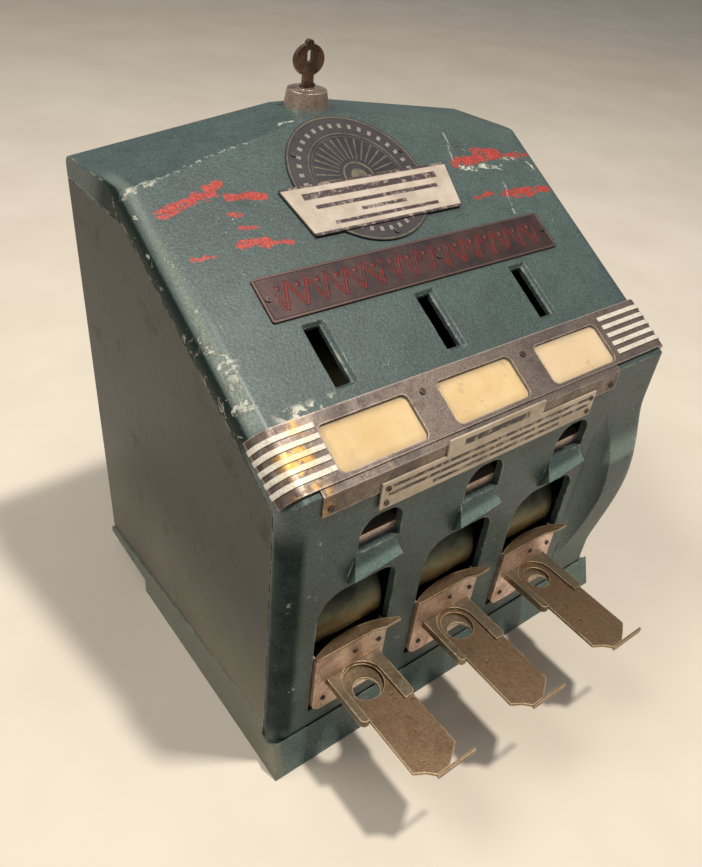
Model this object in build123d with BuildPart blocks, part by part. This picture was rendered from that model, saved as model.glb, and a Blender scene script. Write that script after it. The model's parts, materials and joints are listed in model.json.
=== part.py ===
from build123d import *
import os
from math import cos, radians, sin, tan

# Three column counter stamp vending machine.
# Millimetres, +Z up, origin under the middle of the cabinet, front towards -Y.

# ---------------------------------------------------------------- overall
case_width = 307.0
case_depth = 252.0
roof_top = 340.0
roof_flat_half = 17.0
roof_fall = 0.136
roof_tilt = 2.5
roof_run = 47.6
roof_rear_round = 7.0
panel_angle = 29.3
face_setback = 8.0
nose_radius = 6.0
edge_radius = 12.0
corner_radius = 10.0

column_pitch = 80.0
column_shift = -10.0
columns = [column_shift + column_pitch * i for i in (-1, 0, 1)]

# ---------------------------------------------------------------- sheet and castings
cover_wall = 5.0
cover_foot_z = 21.0
foot_radius = 8.9
foot_gap = 0.6
foot_rear_reach = 4.6
foot_rear_mid = (0.6, 7.4)
foot_rear_low = 1.2
foot_level = 2.0
skirt_depth = 13.0
skirt_drop = 16.0
seam_gap = 0.6
side_wall = 1.8
back_wall = 1.8
joggle_wall = 2.4
joggle_rise = 4.0
joggle_gap = 0.4
roof_gap = 0.6
back_spare = 40.0
skirt_spare = 30.0

half_w = case_width / 2
rear_y = case_depth / 2
face_y = face_setback - rear_y
inner_face_y = face_y + cover_wall
slope_c = cos(radians(panel_angle))
slope_s = sin(radians(panel_angle))
slope_t = tan(radians(panel_angle))
panel_foot_z = roof_top - (case_depth - roof_run) * slope_t
crease_s = (case_depth - roof_run) / slope_c

panel = Plane(origin=(0, -rear_y, panel_foot_z), x_dir=(1, 0, 0), z_dir=(0, -slope_s, slope_c))
along = Plane(origin=(0, -rear_y, panel_foot_z), x_dir=(1, 0, 0), z_dir=(0, slope_c, slope_s))

# ---------------------------------------------------------------- base casting
base_flare = 4.0
base_front_run = 1.0
base_lip_z = 27.3
base_front_lean = 7.0
base_side_front_z = 33.5
base_side_rear_z = 16.0
base_floor_z = 16.0
base_cheek = 5.5
base_pocket_depth = 12.0
base_pocket_half = 108.0
base_pocket_front = (10.0, 118.0)
base_pocket_rear = (134.0, 178.0)
base_foot_end = 188.0
base_rear_under = 12.0
counter_hole_r = 3.5
counter_hole_x = 133.0
counter_hole_front = 32.0
counter_hole_rear = 135.0

# ---------------------------------------------------------------- cover hinge
hinge_pin_r = 2.0
hinge_back = 3.5
hinge_z = 30.0
hinge_eye_r = 3.2
hinge_lug_len = 16.0
hinge_ear_len = 4.0
hinge_side_gap = 0.3
hinge_pin_play = 0.05
hinge_x = 75.0
hinge_y = inner_face_y + hinge_back

# ---------------------------------------------------------------- face openings
opening_left = 39.5
opening_right = 17.5
opening_foot_z = 43.5
opening_top_z = 150.5
opening_round_left = 19.0
opening_round_right = 12.0
outlet_left = 16.0
outlet_right = 14.0
outlet_foot_z = 175.0
outlet_top_z = 199.5
outlet_round_left = 13.0
outlet_round_right = 11.0
ramp_top = (-16.5, 11.0)
ramp_nose = (-22.0, 11.5)
ramp_nose_z = (162.5, 168.0)
ramp_under_z = (152.5, 158.0)
ramp_reach = 8.0
ramp_sink = 1.0

# ---------------------------------------------------------------- slots in the sloping panel
slot_width = 11.0
slot_from = 61.0
slot_to = 98.0
slot_bevel = 2.0

# ---------------------------------------------------------------- flute and bowed corner
flute_x = 102.5
flute_ahead = 19.4
flute_r = 20.8
flute_end_r = 18.6
flute_z = (58.0, 127.0, 212.0)
bow_heights = [48.0, 60.0, 83.0, 128.0, 155.0, 178.0, 196.0]
bow_reach = [0.0, 1.2, 5.0, 9.2, 6.0, 1.4, 0.0]

# ---------------------------------------------------------------- window strip
strip_from = 13.0
strip_to = 51.0
strip_sheet = 2.6
strip_wrap = 6.5
window_half = 29.5
window_from = 15.8
window_to = 43.6
window_round = 4.0
card_sheet = 0.5
pane_sheet = 0.9
pane_play = 0.25
tab_left = -134.0
tab_right = 98.0
tab_drop = 8.3
tab_over = 14.5
tab_sheet = 1.2
bar_count = 5
bar_first = 18.5
bar_pitch = 6.2
bar_width = 3.0
bar_rise = 0.7
bar_left_from = -120.5
bar_right_from = 104.0
strip_screw_r = 2.0
strip_screw_rise = 0.8

# ---------------------------------------------------------------- plates on the cover
directions_left = -97.0
directions_right = 76.0
directions_drop = 20.3
directions_height = 18.0
heading_left = -52.0
heading_right = 25.0
heading_height = 10.5
directions_sheet = 1.2
rivet_r = 1.7
rivet_rise = 0.9
name_left = -111.0
name_right = 114.0
name_from = 104.5
name_to = 132.5
name_sheet = 1.4
medal_x = -5.0
medal_gap_low = 4.5
medal_gap_top = 1.4
medal_rivet_inset = 5.0
medal_rivet_turns = [149.0, 19.0, 273.0]
medal_sheet = 1.2
banner_top_half = 64.5
banner_foot_half = 57.0
banner_x = -1.0
banner_below = 1.0
banner_height = 34.5
banner_sheet = 1.0

# ---------------------------------------------------------------- lock
lock_y = rear_y - 23.0
lock_foot_r = 15.3
lock_foot_sink = 2.2
lock_rim_r = 13.0
lock_height = 9.5
lock_barrel_r = 9.0
lock_barrel_drop = 16.0
lock_hole_play = 0.3
lock_nut_r = 13.0
lock_nut_thick = 4.5
lock_nut_drop = 2.0
plug_r = 6.0
plug_play = 0.05
plug_over = 0.6
cam_thick = 2.4
cam_reach = 19.0
cam_width = 10.0
cam_gap = 0.4
strike_gap = 0.8
strike_thick = 2.2
strike_half = 12.0
strike_reach = 11.0
strike_leg = 26.0
strike_web = 2.0
key_thick = 2.2
key_blade_half = 3.6
key_blade_drop = 15.0
key_neck_half = 4.0
key_neck_rise = 7.0
key_collar_half = 5.5
key_bow_half = 11.5
key_bow_height = 19.0
key_hole_half = 1.8
key_hole_height = 7.0
key_crown = 3.0

# ---------------------------------------------------------------- coin slides
slide_axis = -7.3
slide_width = 34.0
slide_sheet = 2.2
slide_top_z = 73.0
slide_reach = 87.6
slide_inside = 30.0
slide_travel = 44.0
slide_play = 0.25
tip_left = 8.1
tip_notch = (6.8, 4.4)
tip_point = 11.3
tip_flat = 20.8
tip_right = (27.3, 4.2)
tip_shoulder = 9.1
coin_offset = -3.5
coin_back = 16.5
coin_radii = [12.8, 10.9, 9.25]
finger_left = -12.8
finger_right = 16.0
finger_sheet = 1.6
finger_under = 1.0
finger_over = 0.6
guide_left_wall = 5.0
guide_right_wall = 1.4
guide_top = 1.4
guide_floor = 1.6
guide_reach = 40.3
guide_inside = 45.0
guide_cut_play = 1.0
guide_tip_round = 3.6
coin_ledge_reach = 32.0
sight_r = 8.4
sight_ahead = 4.2
sight_left = 0.8
drop_from = 17.0
flange_sheet = 2.0
flange_side = 2.6
flange_rise = 8.0

# ---------------------------------------------------------------- plates round the slides
plate_sheet = 1.6
plate_left = 38.5
plate_right = 15.5
plate_foot_z = 45.0
plate_top_z = 97.4
plate_corner = 7.0
plate_ahead = 3.0
plate_play = 0.4
plate_turn_sheet = 1.2
shelf_sheet = 1.6
shelf_left_back = 2.5
shelf_mid = (-12.0, 8.4)
shelf_right_back = 3.8
shelf_step = (4.0, 0.4)
shelf_out = (13.0, 2.8)
shelf_point = 24.0
shelf_point_thick = 2.4
plate_rivets = [(-9.0, 88.0), (-31.0, 56.0), (10.0, 86.0)]

# ---------------------------------------------------------------- stamp path
chute_sheet = 1.2
chute_under = 10.0
chute_over = 7.0
chute_side = 3.0
drum_r = 30.0
drum_back = 31.6
drum_z = 110.0
drum_side = 2.0
drum_shaft_r = 3.0
drum_play = 0.05
ear_sheet = 2.0
ear_half = 9.0
ear_beside = 3.0

# ---------------------------------------------------------------- inside the case
roll_y = 40.0
roll_z = 150.0
roll_r = 38.0
roll_width = 26.0
roll_offset = -1.8
spindle_r = 4.0
spindle_play = 0.06
stand_sheet = 2.5
stand_half = 22.0
stand_x = 132.0
stand_over = 10.0
collar_r = 7.0
collar_gap = 0.4
collar_len = 4.0
box_front = 27.0
box_rear = 120.0
box_left_gap = 31.5
box_right_gap = 49.5
box_height = 34.0
box_wall = 1.5
box_pull_half = 14.0
box_pull_reach = 6.0


def block(x0, x1, y0, y1, z0, z1, mode=Mode.ADD):
    """A box given by its faces."""
    with Locations(((x0 + x1) / 2, (y0 + y1) / 2, (z0 + z1) / 2)):
        Box(x1 - x0, y1 - y0, z1 - z0, mode=mode)


def cylinder_x(x0, x1, y, z, radius, mode=Mode.ADD):
    """A round bar along X."""
    with Locations(Location(((x0 + x1) / 2, y, z), (0, 90, 0))):
        Cylinder(radius, x1 - x0, mode=mode)


def roof_z(x):
    """Height of the roof over a place across the machine."""
    return roof_top - roof_fall * max(abs(x) - roof_flat_half, 0)


def front_plane(y):
    """Plane facing the front at a depth."""
    return Plane.XZ.offset(-y)


def arched_cut(x0, x1, z0, z1, left_r, right_r):
    """Block through the face wall with a round at each top corner."""
    with BuildPart() as form:
        with BuildSketch(front_plane(face_y - cover_wall)):
            with BuildLine():
                Polyline((x0 + left_r, z1), (x1 - right_r, z1))
                ThreePointArc((x1 - right_r, z1), (x1 - right_r * (1 - sin(radians(45))),
                              z1 - right_r * (1 - sin(radians(45)))), (x1, z1 - right_r))
                Polyline((x1, z1 - right_r), (x1, z0), (x0, z0), (x0, z1 - left_r))
                ThreePointArc((x0, z1 - left_r), (x0 + left_r * (1 - sin(radians(45))),
                              z1 - left_r * (1 - sin(radians(45)))), (x0 + left_r, z1))
            make_face()
        extrude(amount=-3 * cover_wall)
    return form.part


def cover_block(inset, foot, back):
    """Outer form of the cover pulled in by an inset: nose, slope, gabled roof and rounds."""
    front = face_y + inset
    side = half_w - inset
    drop = inset / slope_c
    nose_z = panel_foot_z + slope_t * (front + rear_y) - drop
    ridge = roof_top - inset
    eave = roof_z(half_w) - inset
    tall = roof_top + roof_run
    far_y = -rear_y + (tall + drop - panel_foot_z) / slope_t
    tilt_c = cos(radians(roof_tilt))
    tilt_s = sin(radians(roof_tilt))
    gable_plane = Plane(origin=(0, rear_y - roof_run, 0), x_dir=(1, 0, 0), z_dir=(0, -tilt_c, tilt_s))
    low = foot - case_depth
    round_edge = edge_radius - inset
    round_corner = corner_radius - inset
    slope_len = 2 * case_depth
    with BuildPart() as form:
        with BuildSketch(Plane.YZ) as side_view:
            with BuildLine():
                Polyline((front, foot), (front, nose_z), (far_y, tall), (far_y + case_depth, tall),
                         (far_y + case_depth, foot), (front, foot))
            make_face()
            fillet(side_view.vertices().sort_by_distance((0, front, nose_z))[0],
                   max(nose_radius - inset, 1.0))
        extrude(amount=side, both=True)
        with BuildSketch(gable_plane) as gable:
            with BuildLine():
                Polyline((-side, low), (-side, eave * tilt_c), (-roof_flat_half, ridge * tilt_c),
                         (roof_flat_half, ridge * tilt_c), (side, eave * tilt_c), (side, low), (-side, low))
            make_face()
            fillet(gable.vertices().sort_by(Axis.Z)[2:4], round_edge)
        extrude(amount=2 * case_depth, both=True, mode=Mode.INTERSECT)
        with BuildSketch(along):
            with Locations((0, drop * slope_c + slope_len / 2)):
                RectangleRounded(2 * side, slope_len, round_edge)
        extrude(amount=2 * slope_len, both=True, mode=Mode.INTERSECT)
        with BuildSketch(Plane.XY.offset(foot)):
            with Locations((0, (front + back + back_spare) / 2)):
                RectangleRounded(2 * side, back + back_spare - front, round_corner)
        extrude(amount=2 * roof_top, mode=Mode.INTERSECT)
        block(-case_width, case_width, back, back + 2 * case_depth, foot, 2 * roof_top, mode=Mode.SUBTRACT)
    return form.part


def spindle(x, y, z_low, z_mid, z_high, end_r, mid_r):
    """Upright barrel form: slim at its ends and stout in the middle."""
    with BuildPart() as form:
        with BuildSketch(Plane(origin=(x, y, 0), x_dir=(1, 0, 0), z_dir=(0, -1, 0))):
            with BuildLine():
                ThreePointArc((end_r, z_low), (mid_r, z_mid), (end_r, z_high))
                Polyline((end_r, z_high), (0, z_high), (0, z_low), (end_r, z_low))
            make_face()
        revolve(axis=Axis((x, y, 0), (0, 0, 1)))
    return form.part


def band(s0, s1, low, high, x0, x1, side):
    """Sheet band on the slope that turns down over one edge of the cover."""
    cx = half_w - edge_radius
    with BuildPart() as form:
        with BuildSketch(along.offset(s0)):
            with Locations((side * cx, edge_radius)):
                Circle(edge_radius + high)
                Circle(edge_radius + low, mode=Mode.SUBTRACT)
            with Locations((side * (cx + 50), (strip_wrap - high) / 2)):
                Rectangle(100, strip_wrap + high, mode=Mode.INTERSECT)
            with Locations(((x0 + x1) / 2, -(low + high) / 2)):
                Rectangle(x1 - x0, high - low)
        extrude(amount=s1 - s0)
    return form.part


outer_form = cover_block(0.0, cover_foot_z, rear_y)
inner_form = cover_block(cover_wall, cover_foot_z - case_depth / 4, rear_y + roof_run)
tab_form = cover_block(-tab_sheet, cover_foot_z, rear_y)
with BuildPart() as rounded_form:
    add(outer_form)
    rear_edges = rounded_form.edges().filter_by(lambda e: abs(e.center().Y - rear_y) < 0.01)
    fillet(rear_edges.filter_by(lambda e: e.center().Z > roof_z(half_w) - edge_radius - 0.5), roof_rear_round)
flute_form = spindle(flute_x, face_y - flute_ahead, *flute_z, flute_end_r, flute_r)
corner_x = half_w - corner_radius
corner_y = face_y + corner_radius
bow_points = list(zip(bow_reach, bow_heights))
with BuildPart() as bowed_form:
    with BuildSketch(Plane.YZ.offset(flute_x)):
        with BuildLine():
            Spline(*[(face_y - reach, z) for reach, z in bow_points], tangents=((0, 1), (0, 1)))
            Polyline((face_y, bow_heights[-1]), (corner_y, bow_heights[-1]), (corner_y, bow_heights[0]),
                     (face_y, bow_heights[0]))
        make_face()
    extrude(amount=corner_x - flute_x)
    with BuildSketch(Plane(origin=(corner_x, corner_y, 0), x_dir=(1, 0, 0), z_dir=(0, -1, 0))):
        with BuildLine():
            Spline(*[(corner_radius + reach, z) for reach, z in bow_points], tangents=((0, 1), (0, 1)))
            Polyline((corner_radius, bow_heights[-1]), (0, bow_heights[-1]), (0, bow_heights[0]),
                     (corner_radius, bow_heights[0]))
        make_face()
    revolve(axis=Axis((corner_x, corner_y, 0), (0, 0, 1)))
    block(half_w, half_w + case_width, face_y - case_depth, rear_y, 0, roof_top, mode=Mode.SUBTRACT)

seam_front_y = face_y + skirt_depth
seam_roof_z = roof_z(half_w) - skirt_drop
seam_drop = skirt_drop / slope_c


def seam_outline(gap, foot_front, foot_rear, back):
    """Side outline below the seam, in YZ, held away from the cover by a gap."""
    front = seam_front_y + gap
    top = seam_roof_z - gap
    drop = seam_drop + gap / slope_c
    knee_z = panel_foot_z - drop + slope_t * (front + rear_y)
    bend_y = -rear_y + (top + drop - panel_foot_z) / slope_t
    return [(front, foot_front), (front, knee_z), (bend_y, top), (back, top), (back, foot_rear),
            (front, foot_front)]


guide_back_y = inner_face_y + guide_inside
slide_front_y = face_y - slide_reach
slide_low_z = slide_top_z - slide_sheet
coin_y = face_y - coin_back
guide_front_y = face_y - guide_reach
guide_top_z = slide_top_z + slide_play + guide_top
guide_low_z = slide_low_z - slide_play - guide_floor
guide_left_x = slide_axis - slide_width / 2 - slide_play - guide_left_wall
guide_right_x = slide_axis + slide_width / 2 + slide_play + guide_right_wall
plate_front_y = face_y - plate_ahead
drum_y = inner_face_y + drum_back

parts = []


def keep(builder, name):
    """Name a sub-part and put it in the list that is written out."""
    builder.part.label = name
    parts.append(builder.part)


# ================================================================ case body
base_line = [(-rear_y - base_front_run, 0), (-rear_y + base_foot_end, 0),
             (-rear_y + base_foot_end + 2, base_rear_under - 2), (rear_y, base_rear_under),
             (rear_y, base_side_rear_z), (seam_front_y + seam_gap, base_side_front_z),
             (seam_front_y + seam_gap, base_lip_z), (-rear_y + base_front_lean, base_lip_z),
             (-rear_y - base_front_run, 0)]
with BuildPart() as hinge_groove:
    cylinder_x(-case_width, case_width, hinge_y, hinge_z, foot_radius + foot_gap)
    block(-case_width, case_width, seam_front_y + seam_gap, rear_y, 0, roof_top, mode=Mode.SUBTRACT)

with BuildPart() as base_plinth:
    with BuildSketch(Plane.YZ):
        with BuildLine():
            Polyline(*base_line)
        make_face()
    extrude(amount=half_w + base_flare, both=True)
    with BuildSketch(Plane.XZ):
        with BuildLine():
            Polyline((-half_w - base_flare, 0), (half_w + base_flare, 0),
                     (half_w, base_side_front_z), (-half_w, base_side_front_z),
                     (-half_w - base_flare, 0))
        make_face()
    extrude(amount=case_depth, both=True, mode=Mode.INTERSECT)
    block(-half_w + base_cheek, half_w - base_cheek, seam_front_y + seam_gap + 4, rear_y - 4,
          base_floor_z, base_side_front_z + 1, mode=Mode.SUBTRACT)
    add(hinge_groove.part, mode=Mode.SUBTRACT)
    for low, high in (base_pocket_front, base_pocket_rear):
        block(-base_pocket_half, base_pocket_half, low - rear_y, high - rear_y, -1, base_pocket_depth,
              mode=Mode.SUBTRACT)
    for hole_y in (counter_hole_front, counter_hole_rear):
        with Locations((-counter_hole_x, hole_y - rear_y, base_floor_z),
                       (counter_hole_x, hole_y - rear_y, base_floor_z)):
            Cylinder(counter_hole_r, 4 * base_floor_z, mode=Mode.SUBTRACT)
keep(base_plinth, "base_plinth")

foot_fall = (base_side_front_z - base_side_rear_z) / (rear_y - seam_front_y - seam_gap)
back_foot_z = base_side_rear_z + back_wall * foot_fall
rim_half = half_w - cover_wall - joggle_gap
with BuildPart() as rim:
    add(inner_form.moved(Location((0, 0, -roof_gap))))
    block(-rim_half, rim_half, rear_y - back_wall, rear_y, seam_roof_z - seam_gap - 1, 2 * roof_top,
          mode=Mode.INTERSECT)

with BuildPart() as case_shell:
    for side in (-1, 1):
        wall_x = side * (half_w - side_wall / 2)
        with BuildSketch(Plane.YZ.offset(wall_x)):
            with BuildLine():
                Polyline(*seam_outline(seam_gap, base_side_front_z, base_side_rear_z, rear_y))
            make_face()
        extrude(amount=side_wall / 2, both=True)
        joggle_x = side * (half_w - cover_wall - joggle_gap - joggle_wall / 2)
        with BuildSketch(Plane.YZ.offset(joggle_x)):
            with BuildLine():
                Polyline(*seam_outline(-joggle_rise, base_side_front_z + 8, base_side_rear_z + 8,
                                       rear_y - back_wall - 0.5))
            make_face()
            with BuildLine():
                Polyline(*seam_outline(joggle_rise, base_side_front_z + 8, base_side_rear_z + 8,
                                       rear_y - back_wall - 0.5))
            make_face(mode=Mode.SUBTRACT)
        extrude(amount=joggle_wall / 2, both=True)
        with BuildSketch(Plane.YZ.offset(side * (half_w - side_wall))):
            with BuildLine():
                Polyline(*seam_outline(seam_gap + 1, base_side_front_z + 8, base_side_rear_z + 8,
                                       rear_y - back_wall - 0.5))
            make_face()
            with BuildLine():
                Polyline(*seam_outline(joggle_rise, base_side_front_z + 8, base_side_rear_z + 8,
                                       rear_y - back_wall - 0.5))
            make_face(mode=Mode.SUBTRACT)
        extrude(amount=-side * (cover_wall + joggle_gap - side_wall))
    block(-half_w, half_w, rear_y - back_wall, rear_y, back_foot_z, seam_roof_z - seam_gap)
    add(rim.part)
keep(case_shell, "case_shell")

lock_under_z = roof_top - lock_barrel_drop
cam_top_z = lock_under_z - cam_gap
strike_z = cam_top_z + strike_gap
with BuildPart() as lock_strike:
    block(-strike_half, strike_half, rear_y - back_wall - strike_reach, rear_y - back_wall,
          strike_z, strike_z + strike_thick)
    block(-strike_half, strike_half, rear_y - back_wall - strike_web, rear_y - back_wall,
          strike_z - strike_leg, strike_z - cam_thick - 2 * strike_gap)
    block(strike_half - strike_web, strike_half, rear_y - back_wall - strike_web, rear_y - back_wall,
          strike_z - strike_leg, strike_z + strike_thick)
    block(-strike_half, -strike_half + strike_web, rear_y - back_wall - strike_web, rear_y - back_wall,
          strike_z - strike_leg, strike_z + strike_thick)
keep(lock_strike, "lock_strike")

ear_in = hinge_lug_len / 2 + hinge_side_gap
ear_out = ear_in + hinge_ear_len
with BuildPart() as hinge_ears:
    for cx in (-hinge_x, hinge_x):
        for side in (-1, 1):
            x0, x1 = sorted((cx + side * ear_in, cx + side * ear_out))
            cylinder_x(x0, x1, hinge_y, hinge_z, hinge_eye_r)
            block(x0, x1, hinge_y, hinge_y + hinge_eye_r, base_floor_z, hinge_z)
        cylinder_x(cx - ear_out - 1, cx + ear_out + 1, hinge_y, hinge_z, hinge_pin_r, Mode.SUBTRACT)
    add(base_plinth.part, mode=Mode.SUBTRACT)
keep(hinge_ears, "hinge_ears")

with BuildPart() as hinge_pins:
    for cx in (-hinge_x, hinge_x):
        cylinder_x(cx - ear_out, cx + ear_out, hinge_y, hinge_z, hinge_pin_r)
keep(hinge_pins, "hinge_pins")

box_z = base_floor_z
box_left = box_left_gap - half_w
box_right = half_w - box_right_gap
with BuildPart() as coin_box:
    block(box_left, box_right, box_front - rear_y, box_rear - rear_y, box_z, box_z + box_height)
    block(box_left + box_wall, box_right - box_wall, box_front - rear_y + box_wall,
          box_rear - rear_y - box_wall, box_z + box_wall, box_z + box_height + 1, mode=Mode.SUBTRACT)
    block(-box_pull_half, box_pull_half, box_rear - rear_y, box_rear - rear_y + box_pull_reach,
          box_z + box_height - 3, box_z + box_height - 1)
keep(coin_box, "coin_box")

with BuildPart() as roll_stand:
    block(-stand_x, stand_x, roll_y - stand_half, roll_y + stand_half, base_floor_z,
          base_floor_z + stand_sheet)
    for side in (-1, 1):
        x0, x1 = sorted((side * stand_x, side * (stand_x - stand_sheet)))
        block(x0, x1, roll_y - stand_half, roll_y + stand_half, base_floor_z,
              roll_z - stand_half)
        block(x0, x1, roll_y - stand_over, roll_y + stand_over, base_floor_z, roll_z + stand_over)
    cylinder_x(-stand_x - 1, stand_x + 1, roll_y, roll_z, spindle_r, Mode.SUBTRACT)
keep(roll_stand, "roll_stand")

with BuildPart() as roll_spindle:
    cylinder_x(-stand_x - 3, stand_x + 3, roll_y, roll_z, spindle_r)
    for cx in columns:
        for side in (-1, 1):
            edge_x = cx + roll_offset + side * (roll_width / 2 + collar_gap)
            x0, x1 = sorted((edge_x, edge_x + side * collar_len))
            cylinder_x(x0, x1, roll_y, roll_z, collar_r)
keep(roll_spindle, "roll_spindle")

for number, cx in enumerate(columns, 1):
    mid = cx + roll_offset
    with BuildPart() as stamp_roll:
        cylinder_x(mid - roll_width / 2, mid + roll_width / 2, roll_y, roll_z, roll_r)
        cylinder_x(mid - roll_width, mid + roll_width, roll_y, roll_z, spindle_r + spindle_play,
                   Mode.SUBTRACT)
    keep(stamp_roll, f"stamp_roll_{number}")

# ================================================================ cover body
opening_cuts = [arched_cut(cx - opening_left, cx + opening_right, opening_foot_z, opening_top_z,
                           opening_round_left, opening_round_right) for cx in columns]
outlet_cuts = [arched_cut(cx - outlet_left, cx + outlet_right, outlet_foot_z, outlet_top_z,
                          outlet_round_left, outlet_round_right) for cx in columns]
ramps = []
for cx in columns:
    ends = []
    for top_x, nose_x, nose_z, under_z in zip(ramp_top, ramp_nose, ramp_nose_z, ramp_under_z):
        corners = [(cx + top_x, face_y + ramp_sink, outlet_foot_z),
                   (cx + nose_x, face_y - ramp_reach, nose_z),
                   (cx + nose_x, face_y + ramp_sink, under_z)]
        ends.append(Wire.make_polygon(corners))
    ramps.append(Solid.make_loft(ends, True))

with BuildPart() as front_cover:
    add(rounded_form.part)
    add(bowed_form.part)
    for ramp in ramps:
        add(ramp)
    add(flute_form, mode=Mode.SUBTRACT)
    add(inner_form, mode=Mode.SUBTRACT)
    for side in (-1, 1):
        with BuildSketch(Plane.YZ.offset(side * (half_w - cover_wall - 0.2))):
            with BuildLine():
                Polyline(*seam_outline(0, cover_foot_z - skirt_spare, cover_foot_z - skirt_spare,
                                       rear_y + skirt_spare))
            make_face()
        extrude(amount=side * (cover_wall + 10), mode=Mode.SUBTRACT)
    foot_z = hinge_z - foot_level
    with BuildSketch(Plane.YZ.offset(-case_width)):
        with Locations((hinge_y, foot_z - 2 * foot_radius)):
            Rectangle(4 * foot_radius, 4 * foot_radius)
        with Locations((hinge_y, hinge_z)):
            Circle(foot_radius, mode=Mode.SUBTRACT)
        with BuildLine():
            Polyline((hinge_y + foot_rear_reach, foot_z),
                     (hinge_y + foot_rear_mid[0], hinge_z - foot_rear_mid[1]),
                     (hinge_y - foot_rear_low, hinge_z - foot_radius),
                     (hinge_y + foot_radius, hinge_z - foot_radius),
                     (hinge_y + foot_radius, foot_z), (hinge_y + foot_rear_reach, foot_z))
        make_face()
    extrude(amount=2 * case_width, mode=Mode.SUBTRACT)
    for cx in (-hinge_x, hinge_x):
        block(cx - ear_out - 1, cx + ear_out + 1, face_y - 1, hinge_y, cover_foot_z - 1, foot_z,
              mode=Mode.SUBTRACT)
    for cutter in opening_cuts + outlet_cuts:
        add(cutter, mode=Mode.SUBTRACT)
    for cx in columns:
        with BuildSketch(panel.offset(1)):
            with Locations((cx, (slot_from + slot_to) / 2)):
                Rectangle(slot_width, slot_to - slot_from)
        extrude(amount=-cover_wall - 3, mode=Mode.SUBTRACT)
        with BuildSketch(panel):
            with Locations((cx + slot_bevel / 2, (slot_from + slot_to) / 2)):
                Rectangle(slot_width + 2 * slot_bevel, slot_to - slot_from + 2 * slot_bevel)
        extrude(amount=-slot_bevel, taper=40, mode=Mode.SUBTRACT)
    with Locations((0, lock_y, roof_top)):
        Cylinder(lock_barrel_r + lock_hole_play, 30, mode=Mode.SUBTRACT)
    for cx in (-hinge_x, hinge_x):
        cylinder_x(cx - hinge_lug_len / 2, cx + hinge_lug_len / 2, hinge_y, hinge_z, hinge_eye_r)
        block(cx - hinge_lug_len / 2, cx + hinge_lug_len / 2, inner_face_y - 0.5, hinge_y,
              hinge_z - hinge_eye_r, hinge_z + hinge_eye_r)
        cylinder_x(cx - hinge_lug_len, cx + hinge_lug_len, hinge_y, hinge_z,
                   hinge_pin_r + hinge_pin_play, Mode.SUBTRACT)
keep(front_cover, "front_cover")

cx_left = -half_w + edge_radius
left_band = band(strip_from, strip_to, 0.0, strip_sheet, cx_left, 0, -1)
right_band = band(strip_from, strip_to, 0.0, strip_sheet, 0, -cx_left, 1)
tab_y = face_y - tab_sheet
tab_foot_z = panel_foot_z - tab_drop
with BuildPart() as tab_sheet_form:
    add(tab_form)
    block(tab_left, tab_right, face_y - cover_wall, -rear_y + slope_c * tab_over, tab_foot_z,
          panel_foot_z + slope_s * tab_over + tab_sheet, mode=Mode.INTERSECT)
    add(outer_form, mode=Mode.SUBTRACT)
with BuildPart() as bezel_strip:
    add(left_band)
    add(right_band)
    add(tab_sheet_form.part)
    add(outer_form, mode=Mode.SUBTRACT)
    for cx in columns:
        with BuildSketch(panel.offset(-1)):
            with Locations((cx, (window_from + window_to) / 2)):
                RectangleRounded(2 * window_half, window_to - window_from, window_round)
        extrude(amount=strip_sheet + 3, mode=Mode.SUBTRACT)
keep(bezel_strip, "bezel_strip")

for number, cx in enumerate(columns, 1):
    with BuildPart() as price_card:
        with BuildSketch(panel):
            with Locations((cx, (window_from + window_to) / 2)):
                RectangleRounded(2 * (window_half - pane_play), window_to - window_from - 2 * pane_play,
                                 window_round - pane_play)
        extrude(amount=card_sheet)
    keep(price_card, f"price_card_{number}")
    with BuildPart() as window_pane:
        with BuildSketch(panel.offset(card_sheet)):
            with Locations((cx, (window_from + window_to) / 2)):
                RectangleRounded(2 * (window_half - pane_play), window_to - window_from - 2 * pane_play,
                                 window_round - pane_play)
        extrude(amount=pane_sheet)
    keep(window_pane, f"window_pane_{number}")

bands = []
for x_from, side in ((bar_left_from, -1), (bar_right_from, 1)):
    x0, x1 = sorted((x_from, side * -cx_left))
    for i in range(bar_count):
        low_s = bar_first + bar_pitch * i
        bands.append(band(low_s, low_s + bar_width, strip_sheet, strip_sheet + bar_rise, x0, x1, side))
with BuildPart() as end_bars:
    for piece in bands:
        add(piece)
keep(end_bars, "end_bars")

with BuildPart() as strip_screws:
    screw_s = window_to - 2.5
    spots = [((columns[0] + columns[1]) / 2, screw_s), ((columns[1] + columns[2]) / 2, screw_s)]
    with BuildSketch(panel.offset(strip_sheet)):
        with Locations(*spots):
            Circle(strip_screw_r)
    extrude(amount=strip_screw_rise)
    with BuildSketch(front_plane(tab_y)):
        with Locations((tab_left + 5, tab_foot_z + 4), (tab_right - 5, tab_foot_z + 4)):
            Circle(strip_screw_r)
    extrude(amount=strip_screw_rise)
keep(strip_screws, "strip_screws")

directions_back_y = tab_y
directions_front_y = tab_y - directions_sheet
directions_foot_z = panel_foot_z - directions_drop
directions_top_z = directions_foot_z + directions_height
heading_top_z = directions_top_z + heading_height
with BuildPart() as directions_plate:
    with BuildSketch(front_plane(directions_back_y)):
        with BuildLine():
            Polyline((directions_left, directions_foot_z), (directions_right, directions_foot_z),
                     (directions_right, directions_top_z), (heading_right, directions_top_z),
                     (heading_right, heading_top_z), (heading_left, heading_top_z),
                     (heading_left, directions_top_z), (directions_left, directions_top_z),
                     (directions_left, directions_foot_z))
        make_face()
    extrude(amount=directions_sheet)
keep(directions_plate, "directions_plate")

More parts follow.
